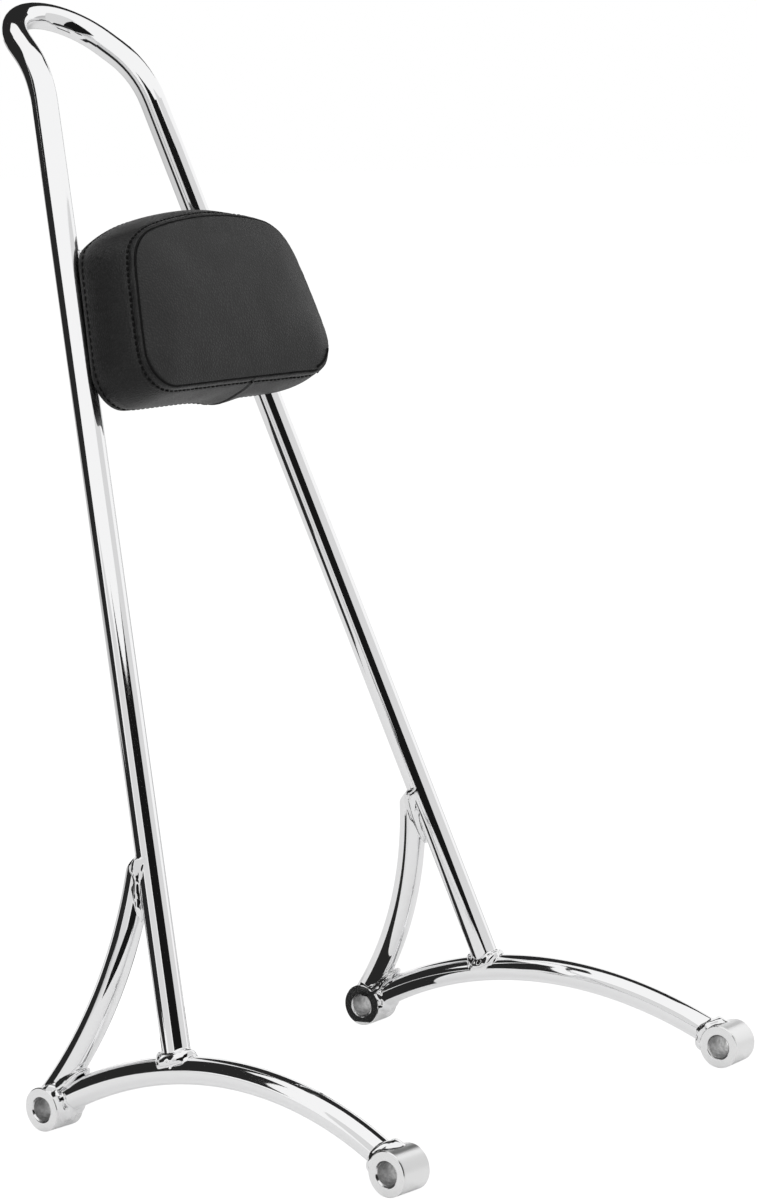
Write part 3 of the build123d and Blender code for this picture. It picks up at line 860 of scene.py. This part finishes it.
def shape_pad():
    """Pad cover: shell, puffed, seamed and smoothed, then set in its place on the legs."""
    shell, rings = pad_shell()
    puff_pad(shell, rings)
    press_rows(shell, rings)
    sewn = {"pad_topstitch": TOPSTITCH_ROW, "pad_hem_stitch": HEM_ROW, "pad_seam_thread": SEAM_ROW}
    stitch_rows = {
        name: [shell.data.vertices[index].co.copy() for index in rings[row]] for name, row in sewn.items()}
    finish_with(shell, "SUBSURF", levels=2, render_levels=2)
    normals = [vertex.normal.copy() for vertex in shell.data.vertices]
    for vertex, normal in zip(shell.data.vertices, normals):
        x, y, z = vertex.co / MM
        if PUCKER_BAND[0] < PAD_SEAM - z < PUCKER_BAND[1]:
            pucker = noise.noise(Vector([at * scale for at, scale in zip((x, y, z), PUCKER_SCALE)]))
            vertex.co += normal * pucker * PUCKER_HEIGHT * MM
        for middle, reach, push in PAD_FILLS.values():
            share = exp(-sum(((at - mid) / far) ** 2 for at, mid, far in zip((x, y, z), middle, reach)))
            vertex.co += Vector(push) * share * MM
    only(shell)
    bpy.ops.object.shade_smooth()
    across, up = Vector((0, 1, 0)), Vector((-sin(LEGS_LEAN), 0, cos(LEGS_LEAN)))
    forward = across.cross(up)
    place = Matrix.Translation(PAD_DATUM) @ Matrix((across, up, forward)).transposed().to_4x4()
    surface = BVHTree.FromObject(shell, bpy.context.evaluated_depsgraph_get())
    for name, points in stitch_rows.items():
        sew(name, points, surface, place)
    shell.matrix_world = place
    only(shell)
    bpy.ops.object.transform_apply(location=True, rotation=True, scale=True)
    wear(shell, pad_vinyl())
    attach(shell, "root")
    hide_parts("pad_cover")


# Stitches: pitch, length and the thread's radius in millimetres
STITCHES = {
    "pad_topstitch": (3.7, 2.6, 0.7),
    "pad_hem_stitch": (4.2, 2.8, 0.42),
    "pad_seam_thread": (1.5, 3.1, 0.72)}
THREAD = stitch_thread()


def sew(name, points, surface, place):
    """Row of stitches laid in a pressed line of the pad, each a short thread with rounded ends."""
    pitch, length, thread_radius = (value * MM for value in STITCHES[name])
    loop = points + points[:1]
    reach = [0.0]
    for before, after in zip(loop, loop[1:]):
        reach.append(reach[-1] + (after - before).length)
    count = round(reach[-1] / pitch)
    bpy.ops.mesh.primitive_uv_sphere_add(segments=8, ring_count=6, radius=thread_radius)
    pattern = bpy.context.object
    for vertex in pattern.data.vertices:
        if abs(vertex.co.z) > 1e-7:
            vertex.co.z += (length / 2 - thread_radius) * (1 if vertex.co.z > 0 else -1)
    copies = []
    piece = 0
    for step in range(count):
        way = (step + 0.5) * reach[-1] / count
        while reach[piece + 1] < way:
            piece += 1
        share = (way - reach[piece]) / (reach[piece + 1] - reach[piece])
        spot = loop[piece].lerp(loop[piece + 1], share)
        along = (loop[piece + 1] - loop[piece]).normalized()
        touch, normal, _, _ = surface.find_nearest(spot)
        side = along.cross(normal).normalized()
        normal = side.cross(along)
        turn = Matrix((side, normal, along)).transposed().to_4x4()
        stitch = pattern.copy()
        stitch.data = pattern.data.copy()
        stitch.data.transform(place @ Matrix.Translation(touch + normal * thread_radius * 0.25) @ turn)
        bpy.context.scene.collection.objects.link(stitch)
        copies.append(stitch)
    bpy.data.objects.remove(pattern)
    only(copies[0])
    for stitch in copies:
        stitch.select_set(True)
    bpy.ops.object.join()
    row = bpy.context.object
    row.name = name
    bpy.ops.object.shade_smooth()
    wear(row, THREAD)
    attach(row, "root")


place_camera()
build_studio()
dress_nodes()
for node_name in sorted(frame["nodes"]):
    if node_name.endswith("_weld"):
        weld_bead(node_name)
shape_pad()
